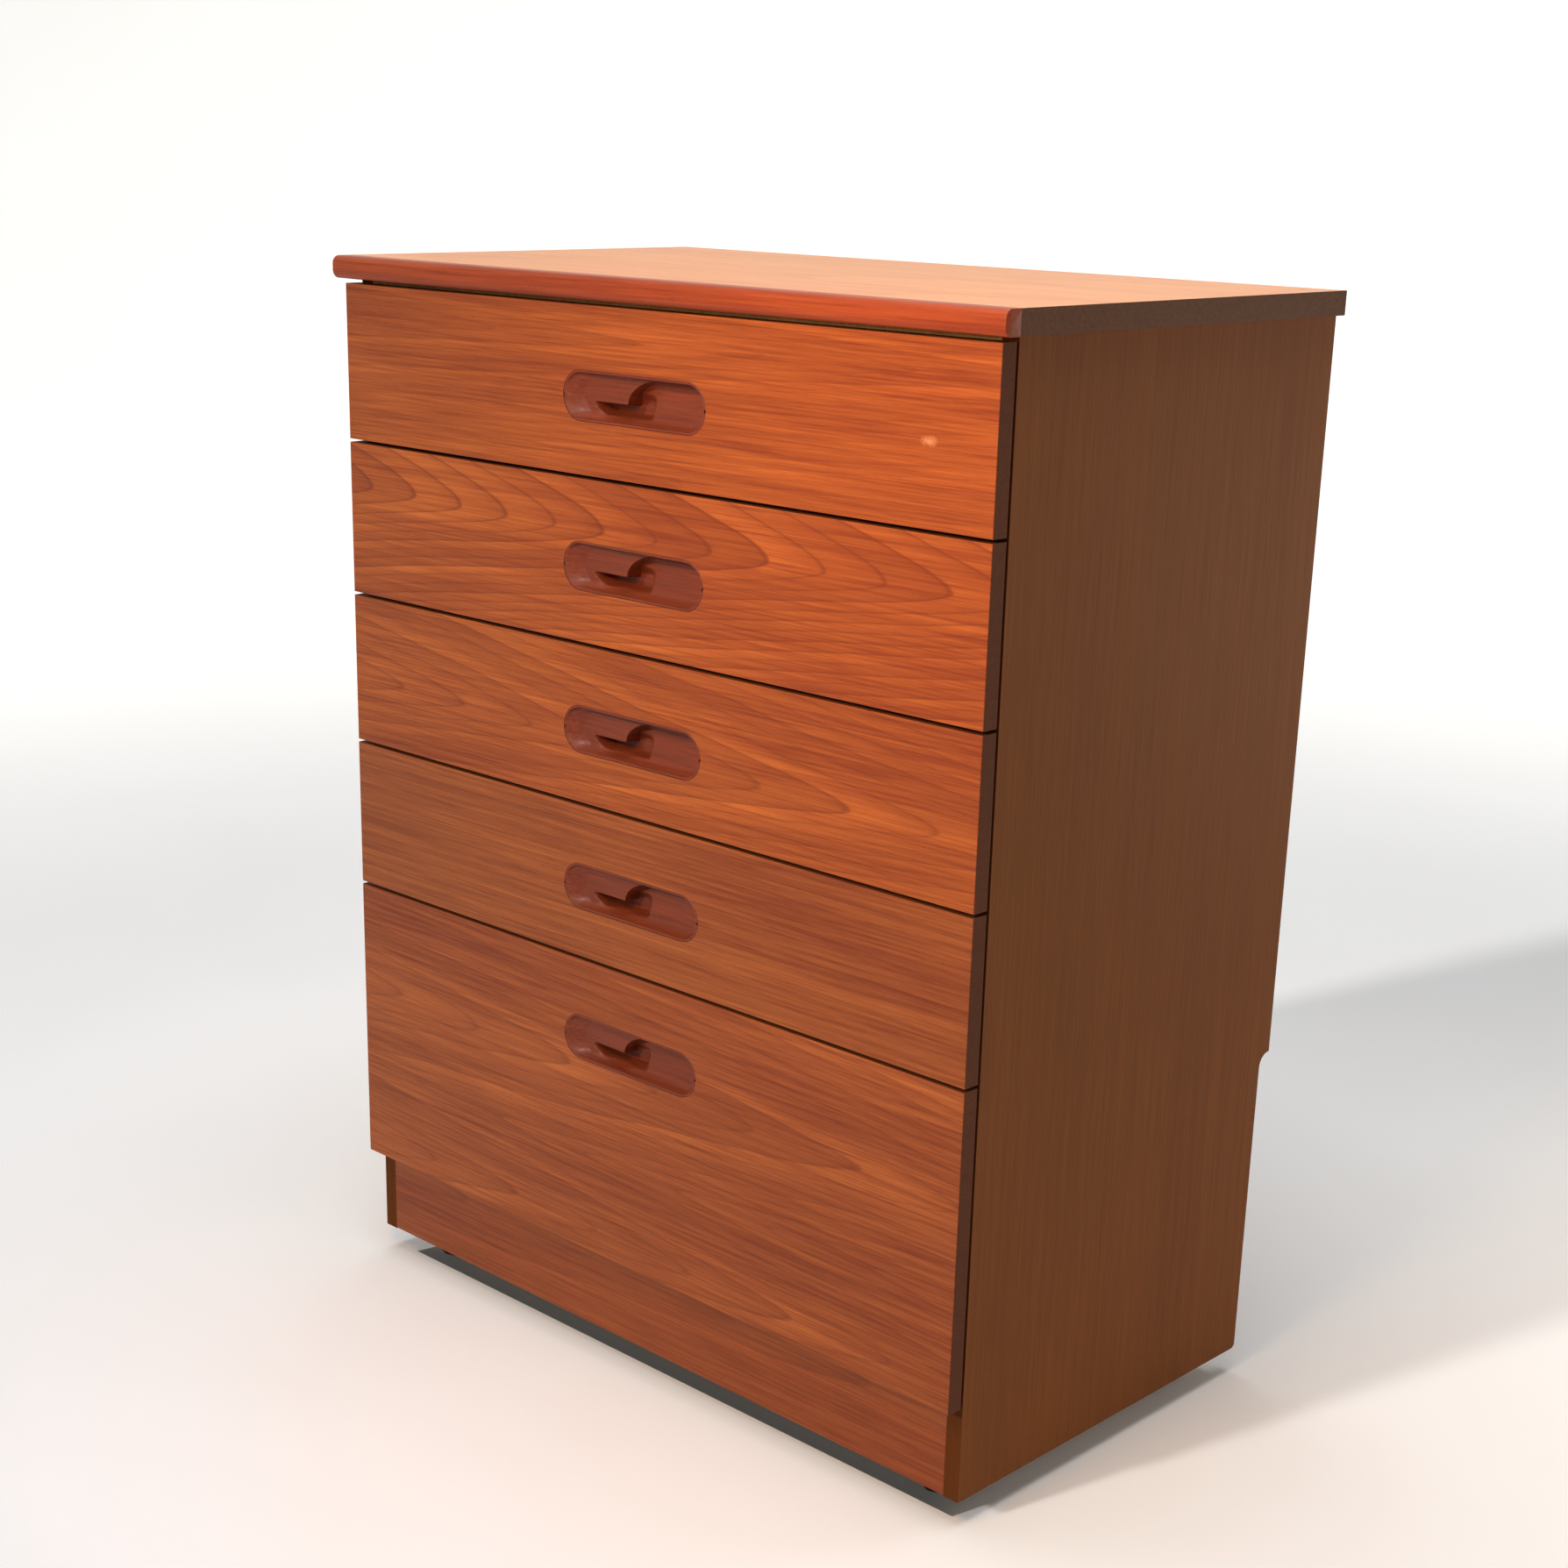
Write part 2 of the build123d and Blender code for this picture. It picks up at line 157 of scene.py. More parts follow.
def scuff(tree, place, colour, centre, size):
    """A small rubbed spot: the colour goes pale inside an ellipse with a ragged rim, all in mm."""
    # how far the rim wanders, and where the spot is fullest and where it ends, in radii
    wander, full, end = 1.2, 0.6, 1.6
    strength = 0.42
    centre, size = (tuple(value * MM for value in values) for values in (centre, size))
    away = add(tree, "Mapping", {0: place, 1: centre, 3: size}, vector_type="TEXTURE")
    away = add(tree, "VectorMath", (away,), out=1, operation="LENGTH")
    # rags 3 mm across
    ragged = add(tree, "TexNoise", {"Vector": place, "Scale": 320.0, "Detail": 2.0})
    away = add(tree, "Math", (ragged, wander, away), operation="MULTIPLY_ADD")
    inside = add(tree, "MapRange", {0: away, 1: full, 2: end, 3: strength, 4: 0.0})
    return add(tree, "Mix", {0: inside, 6: colour, 7: linear("#EBA978")}, out=2, data_type="RGBA")


def lacquered_wood(name, grain, colours, figure, band=None, gloss=0.42, coat=0.0, shine=0.19):
    """Veneer or solid wood under a thin satin lacquer.

    colours are pale, deep and late wood. The eye gets pinstripes of fibre, long slow shifts from
    pale to deep, the figure's dark lines, and short dark pores that also dimple the lacquer. band
    is an axis and a colour: glued banding shows on every face that isn't turned along that axis.
    """
    material, tree, place = new_material(name)
    seed = figure["seed"]
    pale, deep, late = (linear(c) for c in colours)
    # shares in the shift from pale to deep, and what centres it; darkness of a pore
    fibre_share, stripe_share, patch_share, offset = 2.3, 0.8, 0.8, -1.40
    pore_start, pore_full, pore_dark = 0.62, 0.74, 0.25
    # what fibre, pores and banding add to the roughness
    fibre_rough, pore_rough, band_rough = 0.10, 0.10, 0.35
    # fibre bundles about 2 mm wide, drawn coarser than real fibres so that they show
    fibre = drawn_out(tree, place, grain, 110.0, 2.1, detail=5.0, rough=0.7, seed=seed)
    # stripes of darker and paler growth, 9 mm wide
    stripe = drawn_out(tree, place, grain, 400.0, 9.0, seed=seed + 5.0)
    # slow patches a hand wide and half a metre long
    patch = drawn_out(tree, place, grain, 500.0, 110.0, detail=1.0, seed=seed + 9.0)
    tone = add(tree, "Math", (fibre, fibre_share, offset), operation="MULTIPLY_ADD")
    tone = add(tree, "Math", (stripe, stripe_share, tone), operation="MULTIPLY_ADD")
    tone = add(tree, "Math", (patch, patch_share, tone), operation="MULTIPLY_ADD", use_clamp=True)
    colour = add(tree, "Mix", {0: tone, 6: pale, 7: deep}, out=2, data_type="RGBA")
    rings = growth_rings(tree, place, grain, figure)
    rings = add(tree, "Math", (rings, figure["strength"]), operation="MULTIPLY")
    colour = add(tree, "Mix", {0: rings, 6: colour, 7: late}, out=2, data_type="RGBA")
    # open pores 8 mm long
    pores = drawn_out(tree, place, grain, 8.0, 0.65, detail=1.0, seed=seed + 2.0)
    pores = add(tree, "MapRange", {0: pores, 1: pore_start, 2: pore_full})
    specks = add(tree, "Math", (pores, pore_dark), operation="MULTIPLY")
    colour = add(tree, "Mix", {0: specks, 6: colour, 7: late}, out=2, data_type="RGBA")
    if "scuff" in figure:
        colour = scuff(tree, place, colour, *figure["scuff"])
    base = gloss - fibre_rough / 2
    roughness = add(tree, "Math", (fibre, fibre_rough, base), operation="MULTIPLY_ADD")
    roughness = add(tree, "Math", (pores, pore_rough, roughness), operation="MULTIPLY_ADD")
    if band:
        axis, band_colour = band
        normal = add(tree, "SeparateXYZ", (add(tree, "TexCoord", out=1),)).node.outputs
        facing = add(tree, "Math", (normal["XYZ".index(axis)],), operation="ABSOLUTE")
        edge = add(tree, "Math", (facing, 0.5), operation="LESS_THAN")
        cover = add(tree, "MapRange", {0: fibre, 3: 0.8, 4: 1.0})
        edge = add(tree, "Math", (edge, cover), operation="MULTIPLY")
        tones = {0: edge, 6: colour, 7: linear(band_colour)}
        colour = add(tree, "Mix", tones, out=2, data_type="RGBA")
        roughness = add(tree, "Math", (edge, band_rough, roughness), operation="MULTIPLY_ADD")
    height = add(tree, "Math", (pores, -0.6, fibre), operation="MULTIPLY_ADD")
    bump = add(tree, "Bump", {"Height": height, "Strength": 0.10, "Distance": 0.3 * MM})
    look = {
        "Base Color": colour, "Roughness": roughness, "Normal": bump,
        "Specular IOR Level": shine, "Coat Weight": coat, "Coat Roughness": 0.25,
    }
    add(tree, "OutputMaterial", (add(tree, "BsdfPrincipled", look),))
    return material


def plain_figure(seed, **changes):
    """Straight-grained wood: the heart line is far off, so the rings run as parallel lines."""
    figure = {
        "seed": seed, "hearts": ((-900.0, 0.0),), "heart": 40.0, "taper": 0.03,
        "ring": 9.0, "bend": 16.0, "wander": 0.9, "strength": 0.35,
    }
    return {**figure, **changes}


# ---------------------------------------------------------------- surfaces


def surface(name, points, wrap_rows=False, wrap_columns=False, smooth=True):
    """A mesh from a grid of points with shape rows x columns x 3, in metres; poles are welded."""
    rows, columns = points.shape[:2]
    index = np.arange(rows * columns).reshape(rows, columns)
    if wrap_rows:
        index = np.vstack([index, index[:1]])
    if wrap_columns:
        index = np.hstack([index, index[:, :1]])
    corners = [index[:-1, :-1], index[1:, :-1], index[1:, 1:], index[:-1, 1:]]
    quads = np.stack(corners, -1).reshape(-1, 4)
    mesh = bpy.data.meshes.new(name)
    mesh.from_pydata(points.reshape(-1, 3), [], quads.tolist())
    work = bmesh.new()
    work.from_mesh(mesh)
    bmesh.ops.remove_doubles(work, verts=work.verts, dist=0.002 * MM)
    bmesh.ops.recalc_face_normals(work, faces=work.faces)
    work.to_mesh(mesh)
    work.free()
    mesh.polygons.foreach_set("use_smooth", np.full(len(mesh.polygons), smooth))
    piece = bpy.data.objects.new(name, mesh)
    bpy.context.scene.collection.objects.link(piece)
    return piece


def stand_for(piece, node, body, material):
    """The piece takes a CAD node's place: it gets the material, the node is hidden, and the piece
    joins the body.
    """
    piece.data.materials.append(material)
    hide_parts(node)
    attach(piece, body)


def ease(x):
    """0 below 0, 1 above 1, and a smooth step between."""
    x = np.clip(x, 0.0, 1.0)
    return x * x * (3 - 2 * x)


def handle(number, material):
    """A hollowed handle insert, as a closed loop of points carried from end to end.

    Column u runs along the handle and v round a closed loop: up the front, over the top edge, down
    the flat back and under. The front's depth is a quarter-ellipse cove that starts at the rim and
    reaches the floor over a run that is short above the shelf and longer in the pocket and below.
    A straight-sided cone closes the left end. The floor is a shelf at the upper left, and drops to
    the finger pocket over a narrow step that follows the lip: level from the left, then a
    quarter-ellipse up to the rim. A finger slot goes deeper under the lip's level part.

    All sizes are in mm: u runs from the middle to the right, w up, and depth back from the face.
    """
    name = f"drawer_{number}_handle"
    low, high = (np.array(corner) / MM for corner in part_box(name))
    centre = (low + high) / 2
    length, _, height = high - low
    half, radius, rim = length / 2, height / 2, 2.0
    straight = half - radius
    shelf, pocket, slot_floor = 8.0, 19.5, 24.0
    shelf_run, pocket_run, low_run = 2.4, 9.4, 8.5
    cone_length, cone_lift = 29.0, 0.55
    lip_level, lip_turn, lip_rise = -5.0, -14.0, 52.0
    pocket_start, pocket_slope, step = -52.0, 34.0, 1.0
    arris, arris_drop = 0.7, 0.35
    # the pocket comes up below and at the right: over what lengths, and by what parts of its depth
    below_length, below_part = 26.0, 0.42
    right_start, right_length, right_part = 35.0, 45.0, 0.12
    # the slot: its ends, its foot and head from the lip's level, and how far each edge slopes
    slot_start, slot_end, foot_left, foot_fall, head = -54.0, 15.0, 4.0, 6.0, 12.0
    foot_length, left_slope, right_slope, foot_slope, head_slope = 16.0, 8.0, 14.0, 3.0, 9.0

    u = -half * np.cos(np.linspace(0, math.pi, 261))
    u = 0.35 * u + 0.65 * np.linspace(-half, half, len(u))
    tall = np.sqrt(np.maximum(radius**2 - np.maximum(np.abs(u) - straight, 0) ** 2, 0))
    inner = np.sqrt(np.maximum((radius - rim) ** 2 - np.maximum(np.abs(u) - straight, 0) ** 2, 0))
    rise = np.clip((u - lip_turn) / lip_rise, 0, 1)
    lip = lip_level + (radius - rim - lip_level) * np.sqrt(1 - (1 - rise) ** 2)
    lip = np.clip(lip, -inner + step, inner - step)
    # rows between these heights are crowded at the rim and at the lip
    outside, inside = 0.05, 0.6
    knots = [-tall, -inner - outside, -inner + inside, lip - step, lip + step]
    knots += [inner - inside, inner + outside, tall]
    knots = np.clip(np.stack(knots), -tall, tall)
    spans = (3, 5, 44, 12, 36, 5, 3)
    pieces = [
        knots[i] + (knots[i + 1] - knots[i]) * np.linspace(0, 1, n, endpoint=False)[:, None]
        for i, n in enumerate(spans)
    ]
    w = np.vstack(pieces + [tall[None]])
    u_grid = np.broadcast_to(u, w.shape)

    over = np.maximum(np.abs(u_grid) - straight, 0) * np.sign(u_grid)
    away = np.hypot(over, w)
    inset = (radius - rim) - away
    in_pocket = ease((lip - w) / (2 * step) + 0.5)
    run = np.where(w > 0, shelf_run + (pocket_run - shelf_run) * in_pocket, low_run)
    cove = np.sqrt(1 - (1 - np.clip(inset / run, 0, 1)) ** 2)
    # the left end: a straight-sided cone that meets the shelf in a crease
    lift = cone_lift * np.clip(inset / radius, 0, 1)
    cone = np.clip((u_grid + half - rim) / cone_length + lift, 0, 1)
    dropped = in_pocket * ease((u_grid - pocket_start) / pocket_slope)
    # the pocket is deepest under the lip and comes up towards its lower edge and its right end
    below = np.clip((lip - w) / below_length, 0, 1)
    right_end = np.clip((u_grid - right_start) / right_length, 0, 1)
    bowl = 1 - below_part * below - right_part * right_end**2
    floor = shelf + (pocket * bowl - shelf) * dropped
    depth = cove * cone * floor
    # the finger slot: its foot falls away from its left end
    foot = lip_level - foot_left - foot_fall * ease((u_grid - slot_start) / foot_length)
    slot = ease((u_grid - slot_start) / left_slope) * ease((slot_end - u_grid) / right_slope)
    slot = slot * ease((w - foot) / foot_slope) * ease((lip_level + head - w) / head_slope)
    slot = slot * in_pocket
    depth = depth + (slot_floor - depth) * slot
    rounded = np.clip(1 - (radius - away) / arris, 0, 1)
    depth = depth + arris_drop * rounded**2

    front = np.stack([centre[0] + u_grid, low[1] + depth, centre[2] + w], -1)
    back_w = tall * np.array([1.0, 0.5, 0.0, -0.5, -1.0])[:, None]
    back_u, back_y = np.broadcast_to(u, back_w.shape), np.full(back_w.shape, high[1])
    back = np.stack([centre[0] + back_u, back_y, centre[2] + back_w], -1)
    piece = surface(f"handle_{number}", np.vstack([front, back]) * MM, wrap_rows=True)
    stand_for(piece, name, f"drawer_{number}", material)


def lipping(material):
    """The top's front strip: a rectangle with two rounded front corners, carried along the top."""
    node = "top_front_lipping"
    low, high = (np.array(corner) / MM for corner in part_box(node))
    turn = np.radians(np.linspace(0, 90, 13))
    round_radius, arris = 7.0, 0.4
    corners = (
        (low[1] + round_radius, low[2] + round_radius, round_radius, 180),
        (high[1] - arris, low[2] + arris, arris, 270),
        (high[1] - arris, high[2] - arris, arris, 0),
        (low[1] + round_radius, high[2] - round_radius, round_radius, 90),
    )
    y = np.concatenate([cy + r * np.cos(turn + math.radians(start)) for cy, _, r, start in corners])
    z = np.concatenate([cz + r * np.sin(turn + math.radians(start)) for _, cz, r, start in corners])
    middle = np.array([(low[1] + high[1]) / 2, (low[2] + high[2]) / 2])
    # the ends: a small rounding, then a flat cap that closes on the middle; inset and size
    ends = np.array([(0.0, 0.0), (0.0, 0.97), (0.12, 0.985), (0.4, 1.0)])
    rings, first = 40, 2.0
    between = np.linspace(low[0] + first, high[0] - first, rings)
    x = np.concatenate([low[0] + ends[:, 0], between, high[0] - ends[::-1, 0]])
    size = np.concatenate([ends[:, 1], np.ones(rings), ends[::-1, 1]])
    points = np.stack(
        [
            np.broadcast_to(x[:, None], (len(x), len(y))),
            middle[0] + size[:, None] * (y - middle[0]),
            middle[1] + size[:, None] * (z - middle[1]),
        ],
        -1,
    )
    piece = surface("lipping", points * MM, wrap_columns=True)
    stand_for(piece, node, "case", material)


def wheel(corner, material):
    """A moulded castor wheel: its half profile turned once round the axle."""
    node = f"{corner}_castor_wheel"
    joint = next(j for j in frame["joints"] if j["name"] == f"{corner}_wheel_roll")
    low, high = (np.array(c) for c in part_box(node))
    centre = (low + high) / 2 / MM
    axle = np.array(joint["axis"], float)
    radius = (high[2] - low[2]) / 2 / MM
    half, bore, hub = 7.0, 2.56, 7.0
    profile = np.array(
        [
            (bore, -half), (hub - 0.6, -half), (hub, -half + 0.6), (hub + 0.5, -half + 2.0),
            (radius - 5.0, -half + 2.2), (radius - 4.0, -half + 0.3), (radius - 2.5, -half),
            (radius - 1.2, -half + 0.4), (radius - 0.35, -half + 1.5), (radius, -half + 3.5),
        ]
    )
    profile = np.vstack([profile, profile[::-1] * (1, -1)])
    angle = np.linspace(0, 2 * math.pi, 96, endpoint=False)[:, None]
    up = np.array([0.0, 0.0, 1.0])
    side = np.cross(up, axle)
    points = (
        centre
        + (np.cos(angle) * profile[:, 0])[..., None] * up
        + (np.sin(angle) * profile[:, 0])[..., None] * side
        + np.broadcast_to(profile[:, 1], (len(angle), len(profile)))[..., None] * axle
    )
    piece = surface(f"{corner}_wheel", points * MM, wrap_rows=True, wrap_columns=True)
    stand_for(piece, node, f"{corner}_wheel", material)


# ---------------------------------------------------------------- other finishes


def board_stock(name, base, fleck, size, stretch=(1.0, 1.0, 1.0), roughness=0.75):
    """Pressed board: chips or fibres of two tones, matt, with a slightly uneven face."""
    material, tree, place = new_material(name)
    moved = add(tree, "Mapping", {0: place, 3: stretch})
    chips = add(tree, "TexVoronoi", {"Vector": moved, "Scale": 1 / (size * MM)}, out=1)
    chips = add(tree, "SeparateXYZ", (chips,))
    cloud = add(tree, "TexNoise", {"Vector": place, "Scale": 14.0, "Detail": 4.0})
    tone = add(tree, "Math", (chips, 0.5), operation="MULTIPLY")
    tone = add(tree, "Math", (cloud, 0.5, tone), operation="MULTIPLY_ADD")
    colour = add(tree, "Mix", {0: tone, 6: linear(base), 7: linear(fleck)}, out=2, data_type="RGBA")
    bump = add(tree, "Bump", {"Height": tone, "Strength": 0.25, "Distance": 0.3 * MM})
    look = {"Base Color": colour, "Roughness": roughness, "Normal": bump, "Specular IOR Level": 0.3}
    add(tree, "OutputMaterial", (add(tree, "BsdfPrincipled", look),))
    return material


def raw_wood(name, grain, pale, deep, seed):
    """Pale unfigured wood, planed and thinly sealed: fine straight fibre and no dark rings."""
    figure = plain_figure(seed, strength=0.18, ring=6.0)
    return lacquered_wood(name, grain, (pale, deep, deep), figure, gloss=0.55)


def plated_steel(name, colour, seed):
    """Zinc-plated pressed steel: a dull bright metal with a cloudy plating and faint rubbing."""
    material, tree, place = new_material(name)
    moved = add(tree, "Mapping", {0: place, 1: (seed, seed, seed)})
    # clouds about 11 mm across
    cloud = add(tree, "TexNoise", {"Vector": moved, "Scale": 90.0, "Detail": 5.0})
    tones = {0: cloud, 6: linear(colour), 7: linear("#5E5A55")}
    tint = add(tree, "Mix", tones, out=2, data_type="RGBA")
    roughness = add(tree, "Math", (cloud, 0.25, 0.28), operation="MULTIPLY_ADD")
    look = {"Base Color": tint, "Roughness": roughness, "Metallic": 1.0}
    add(tree, "OutputMaterial", (add(tree, "BsdfPrincipled", look),))
    return material


def moulded_nylon(name):
    """Black moulded nylon: near black, half matt, with a fine grain and grey dust picked up."""
    material, tree, place = new_material(name)
    # grit 1 mm across and dust in patches of 8 mm
    grit = add(tree, "TexNoise", {"Vector": place, "Scale": 900.0, "Detail": 2.0})
    dust = add(tree, "TexNoise", {"Vector": place, "Scale": 120.0, "Detail": 4.0})
    dust = add(tree, "MapRange", {0: dust, 1: 0.5, 2: 0.8, 4: 0.35})
    tones = {0: dust, 6: linear("#141313"), 7: linear("#5A5650")}
    colour = add(tree, "Mix", tones, out=2, data_type="RGBA")
    bump = add(tree, "Bump", {"Height": grit, "Strength": 0.2, "Distance": 0.1 * MM})
    look = {"Base Color": colour, "Roughness": 0.5, "Normal": bump}
    add(tree, "OutputMaterial", (add(tree, "BsdfPrincipled", look),))
    return material


def studio_paper():
    """Seamless pale paper: matt, slightly mottled, and glowing away from the middle as painted
    light.
    """
    # where the paper's painted glow starts and where it is full, in metres, and its strength there
    start, full, faint, strong = 1.2, 3.8, 0.05, 0.62
    material, tree, place = new_material("seamless_paper")
    # mottles a third of a metre across
    mottle = add(tree, "TexNoise", {"Vector": place, "Scale": 3.0, "Detail": 6.0})
    tones = {0: mottle, 6: linear("#FCFDFD"), 7: linear("#F5F5F3")}
    colour = add(tree, "Mix", tones, out=2, data_type="RGBA")
    away = add(tree, "VectorMath", (place,), out=1, operation="LENGTH")
    reach = {0: away, 1: start, 2: full, 3: faint, 4: strong}
    glow = add(tree, "MapRange", reach, interpolation_type="SMOOTHSTEP")
    look = {"Base Color": colour, "Roughness": 0.9, "Specular IOR Level": 0.1}
    # the glow is emission: painted light on the paper, not a lamp
    look.update({"Emission Color": linear("#FFFDF8"), "Emission Strength": glow})
    # the sheet's faces point away from the chest; from that side it lets everything through
    inside = add(tree, "NewGeometry", out=6)
    clear = add(tree, "BsdfTransparent")
    sheet = add(tree, "MixShader", (inside, clear, add(tree, "BsdfPrincipled", look)))
    add(tree, "OutputMaterial", (sheet,))
    return material


# ---------------------------------------------------------------- the chest

# the edge banding, and each front's pale, deep and late wood
BAND = "#512809"
TEAK = {
    1: ("#B26026", "#7A3310", "#632408"),
    2: ("#BC672A", "#803712", "#69270A"),
    3: ("#B66428", "#7C3511", "#64250A"),
    4: ("#A55D28", "#703111", "#5C2308"),
    5: ("#B1622A", "#783412", "#60240A"),
}


def front_figures():
    """How each drawer front's leaf was cut.

    A heart is its line's height and how late its rings start, both in mm. The rubbed spot is its
    centre and its radii.
    """
    middle = {n: sum(corner.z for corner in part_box(f"drawer_{n}_front")) / 2 / MM for n in DRAWERS}
    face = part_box("drawer_1_front")[0].y / MM
    top_right = (316.0, face, middle[1] - 5.0)
    return {
        1: {
            "seed": 1.3, "hearts": ((middle[1] + 44, 1.5),), "heart": 5.0, "taper": 0.05,
            "ring": 8.0, "bend": 16.0, "wander": 0.5, "strength": 0.55,
            "scuff": (top_right, (10.0, 6.0, 4.5)),
        },
        2: {
            "seed": 4.2, "hearts": ((middle[2] + 30, 0.0),), "heart": 20.0, "taper": 0.24,
            "ring": 15.0, "bend": 14.0, "wander": 0.35, "lean": 0.9, "strength": 1.0,
        },
        3: {
            "seed": 7.7, "hearts": ((middle[3] - 10, 0.0),), "heart": 12.0, "taper": 0.13,
            "ring": 12.0, "bend": 20.0, "wander": 0.6, "strength": 0.78, "lean": 0.3,
        },
        4: plain_figure(11.1, taper=-0.02, ring=10.0, strength=0.45),
        5: {
            "seed": 15.4, "hearts": ((middle[5] + 40, 0.0), (middle[5] - 118, 6.0)),
            "heart": 14.0, "taper": 0.085, "ring": 10.0, "bend": 22.0, "wander": 0.6,
            "strength": 0.70,
        },
    }


def finish_case():
    """Materials of the case's own boards."""
    upright = plain_figure(
        21.0, hearts=((600.0, 0.0),), taper=0.01, ring=14.0, strength=0.22, bend=10.0
    )
    # the sides are the fronts' teak made darker and browner: painted shade for sides that get little
    # light
    tones = ("#874D17", "#723E11", "#5D2E0A")
    side = lacquered_wood(
        "teak_veneer_upright_painted_shade", "Z", tones, upright, band=("X", BAND), gloss=0.55, shine=0.1
    )
    flat = plain_figure(26.0, hearts=((-500.0, 0.0),), taper=0.02, ring=11.0, strength=0.30)
    # the top is the fronts' teak made much paler: a painted sheen for the pale reflection a
    # lacquered top gives at a grazing view
    tones = ("#E09A5A", "#C67E4A", "#A05A2C")
    top = lacquered_wood(
        "teak_veneer_top_painted_sheen", "X", tones, flat, band=("Z", "#42220A"), coat=0.10, shine=0.15
    )
    low = {
        "seed": 15.4, "hearts": ((95.0, 0.0),), "heart": 18.0, "taper": 0.05,
        "ring": 9.0, "bend": 12.0, "wander": 0.8, "strength": 0.42,
    }
    tones = ("#A05424", "#743010", "#4C1A06")
    plinth = lacquered_wood("teak_veneer_plinth", "X", tones, low, band=("Y", BAND))
    chip = board_stock("pressed_chipboard", "#B59B74", "#8C7350", 2.2)
    hard = board_stock("tempered_hardboard", "#8A6544", "#6E4E33", 1.1, (1.0, 1.0, 0.35), 0.62)
    paint = {
        "left_side_panel": side, "right_side_panel": side, "top_panel": top, "plinth": plinth,
        "castor_board": chip, "rear_plinth": chip, "top_front_rail": chip, "top_rear_rail": chip,
        "back_panel": hard,
        "drawer_runners": raw_wood("planed_beech", "Y", "#D9B384", "#BC9060", 31.0),
        "runner_screws": plated_steel("zinc_screw", "#A8A29A", 2.0),
        "castor_screws": plated_steel("zinc_castor_screw", "#A8A29A", 3.0),
    }
    for node, material in paint.items():
        set_material(node, material)


def set_material(node, material):
    """Puts a material in a CAD node's slots."""
    for slot in frame["nodes"][node].material_slots:
        slot.material = material


def finish_drawers():
    """Fronts each with their own leaf, boxes of pale wood with ply bottoms, and the handles."""
    box_side = raw_wood("sealed_ramin_side", "Y", "#DDBB8D", "#C29A69", 41.0)
    box_back = raw_wood("sealed_ramin_back", "X", "#DDBB8D", "#C29A69", 44.0)
    ply = raw_wood("gaboon_ply", "X", "#D2A77C", "#B98C60", 47.0)
    grip = plain_figure(
        52.0, hearts=((-300.0, 0.0),), taper=0.05, ring=5.0, strength=0.35, bend=5.0
    )
    tones = ("#843C20", "#642A15", "#3C140A")
    dark = lacquered_wood("lacquered_afrormosia", "X", tones, grip, gloss=0.45, coat=0.06)
    for number, figure in front_figures().items():
        name = f"drawer_{number}"
        veneer = f"teak_veneer_front_{number}"
        veneer = lacquered_wood(veneer, "X", TEAK[number], figure, band=("Y", BAND))
        set_material(f"{name}_front", veneer)
        set_material(f"{name}_left_side", box_side)
        set_material(f"{name}_right_side", box_side)
        set_material(f"{name}_back", box_back)
        set_material(f"{name}_bottom", ply)
        handle(number, dark)


def finish_castors():
    """Plated plates, forks and axles, and black wheels."""
    steel = plated_steel("zinc_pressed_steel", "#8F8A82", 5.0)
    black = moulded_nylon("black_moulded_nylon")
    for corner in CORNERS:
        for part in ("plate", "fork", "axle"):
            set_material(f"{corner}_castor_{part}", steel)
        wheel(corner, black)


def finish_lipping():
    """The solid strip, redder than the veneer."""
    edge = plain_figure(61.0, hearts=((700.0, 0.0),), taper=0.02, ring=7.0, bend=6.0)
    tones = ("#A24A20", "#7C2E12", "#541A08")
    lipping(lacquered_wood("lacquered_teak_lipping", "X", tones, edge, gloss=0.40))


finish_case()
finish_drawers()
finish_castors()
finish_lipping()


# ---------------------------------------------------------------- studio


def cyclorama():
    """Floor and wall in one sweep: a profile turned once round the middle, in metres.

    The profile is flat to 4, bends up through a quarter circle of 2.5, and rises to 16. Its inner
    part is a piece of its own, as only that part throws light back at the chest.
    """
    flat, bend, top = 4.0, 2.5, 16.0
    turn = np.linspace(0, math.pi / 2, 24)[1:]
    inner = np.concatenate([[0.0], np.geomspace(0.4, 2.5, 12)])
    outer = np.concatenate([[2.5, 3.2, flat], flat + bend * np.sin(turn), [flat + bend]])
    rise = np.concatenate([np.zeros(3), bend - bend * np.cos(turn), [top]])
    angle = np.linspace(0, 2 * math.pi, 128, endpoint=False)[:, None]
    paper = studio_paper()
    for name, radii, heights in (("floor", inner, np.zeros(len(inner))), ("sweep", outer, rise)):
        points = np.stack([np.cos(angle) * radii, np.sin(angle) * radii, 0 * angle + heights], -1)
        piece = surface(name, points, wrap_rows=True)
        piece.data.materials.append(paper)
        piece.visible_shadow = False
        piece.visible_diffuse = name == "floor"


def flag():
    """A black card on edge under the case: one flat grid.

    It stands 13 mm behind the plinth's face and ends 15 mm short of its left end. It keeps low
    light from getting in under the chest. The camera looks through it, and only light stops at it.
    """
    behind, short, lift = 13 * MM, 15 * MM, 0.5 * MM
    low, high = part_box("plinth")
    x = np.array([[low.x + short, high.x]] * 2)
    z = np.array([[lift] * 2, [low.z] * 2])
    card = surface("flag", np.stack([x, np.full((2, 2), low.y + behind), z], -1), smooth=False)
    material, tree, place = new_material("black_felt")
    # fluff 2 mm across
    fluff = add(tree, "TexNoise", {"Vector": place, "Scale": 500.0})
    tones = {0: fluff, 6: linear("#0C0C0C"), 7: linear("#161616")}
    colour = add(tree, "Mix", tones, out=2, data_type="RGBA")
    look = {"Base Color": colour, "Roughness": 1.0, "Specular IOR Level": 0.0}
    add(tree, "OutputMaterial", (add(tree, "BsdfPrincipled", look),))
    card.data.materials.append(material)
    card.visible_camera = card.visible_glossy = False


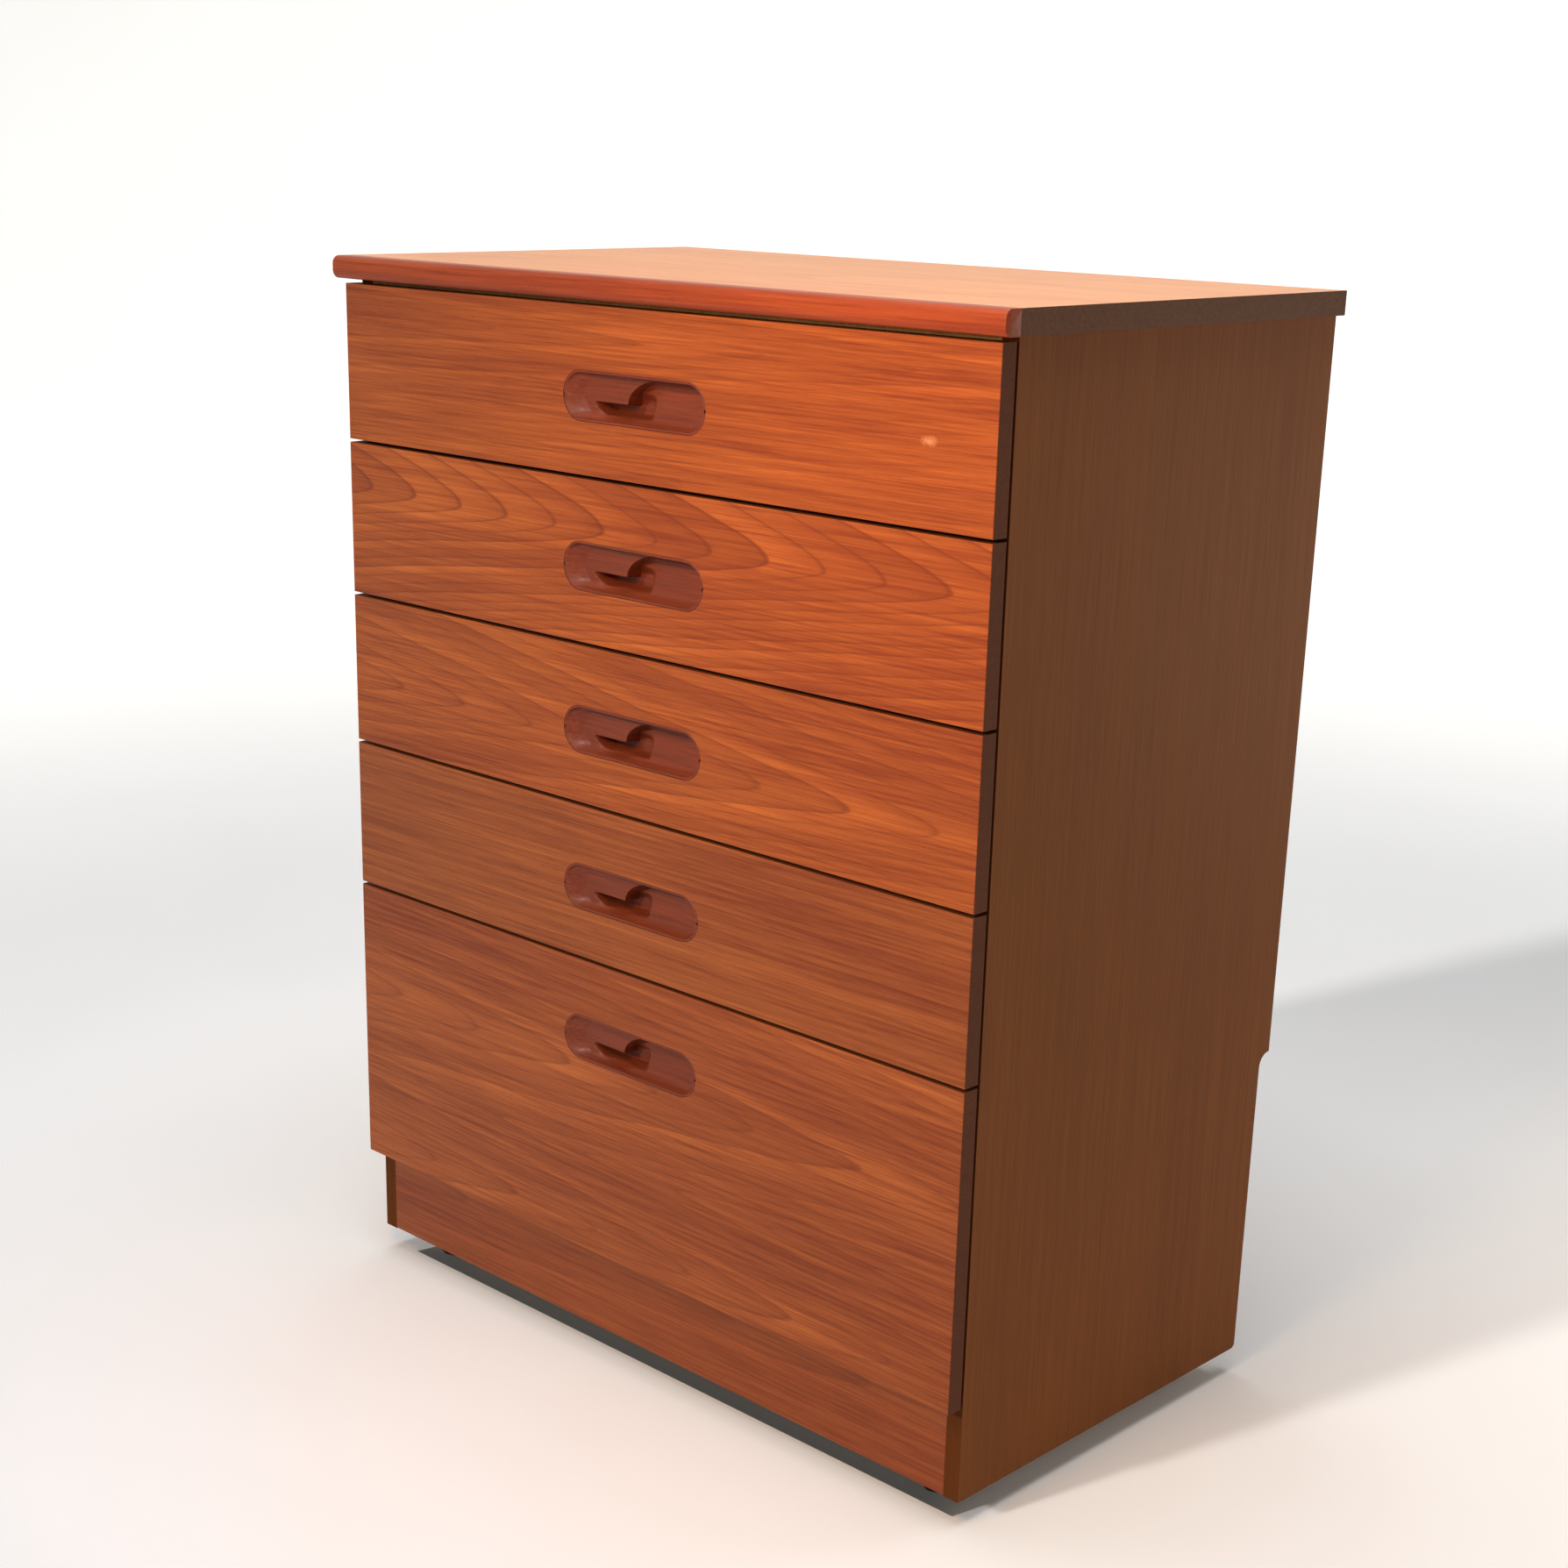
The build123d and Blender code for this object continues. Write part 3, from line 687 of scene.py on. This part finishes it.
def area_light(name, place, target, size, watts, colour, spread):
    """A soft rectangular light at place that points at target, in metres; spread in degrees."""
    lamp = bpy.data.lights.new(name, "AREA")
    lamp.shape = "RECTANGLE"
    lamp.size, lamp.size_y = size
    lamp.energy = watts
    lamp.color = linear(colour)[:3]
    lamp.spread = math.radians(spread)
    light = bpy.data.objects.new(name, lamp)
    direction = np.array(target, float) - np.array(place, float)
    light.location = place
    light.rotation_euler = Vector(direction).to_track_quat("-Z", "Y").to_euler()
    bpy.context.scene.collection.objects.link(light)


def camera():
    """Stands front right of the chest, a little above its top, and looks down and to the left."""
    stand = (1.5043, -1.6316, 1.1006)
    yaw, pitch, roll = (math.radians(a) for a in (43.916, 18.164, 1.23))
    level_part = math.cos(pitch)
    ahead = Vector((-math.sin(yaw) * level_part, math.cos(yaw) * level_part, -math.sin(pitch)))
    level = ahead.cross(Vector((0, 0, 1))).normalized()
    above = level.cross(ahead)
    right = level * math.cos(roll) + above * math.sin(roll)
    up = above * math.cos(roll) - level * math.sin(roll)
    lens = bpy.data.cameras.new("camera")
    lens.sensor_width = 36.0
    lens.lens = 57.13
    lens.shift_x, lens.shift_y = 0.0249, 0.1039
    lens.clip_end = 50.0
    eye = bpy.data.objects.new("camera", lens)
    turn = Matrix((right, up, -ahead)).transposed().to_4x4()
    eye.matrix_world = Matrix.Translation(stand) @ turn
    bpy.context.scene.collection.objects.link(eye)
    bpy.context.scene.camera = eye


def studio():
    """The sweep, three soft lamps, window light from far off, and room light.

    A warm key stands near the front's upper right, a panel hangs overhead, and a low lamp stands
    behind the right side.
    """
    cyclorama()
    flag()
    lamps = (
        ("key", (0.36, -0.95, 1.18), (0.34, -0.2, 0.84), (0.4, 0.4), 4.7, "#FFC994", 130),
        ("overhead", (0.0, -0.2, 3.6), (0.0, -0.2, 0.0), (2.6, 2.6), 84, "#F8FAFF", 180),
        ("right_rear", (1.05, 1.3, 0.55), (0.38, 0.1, 0.35), (0.4, 0.6), 3.2, "#FFE6CC", 180),
    )
    for lamp in lamps:
        area_light(*lamp)
    window = bpy.data.lights.new("window", "SUN")
    window.energy, window.angle = 1.5, math.radians(4)
    window.color = linear("#FFFCFA")[:3]
    light = bpy.data.objects.new("window", window)
    window_ray = Vector((0.19, 0.86, -0.45))
    light.rotation_euler = window_ray.to_track_quat("-Z", "Y").to_euler()
    bpy.context.scene.collection.objects.link(light)
    world = bpy.data.worlds.new("room")
    world.use_nodes = True
    background = world.node_tree.nodes["Background"]
    background.inputs["Color"].default_value = linear("#FFFCF7")
    background.inputs["Strength"].default_value = 0.12
    bpy.context.scene.world = world
    bpy.context.scene.view_settings.view_transform = "Standard"


studio()
camera()
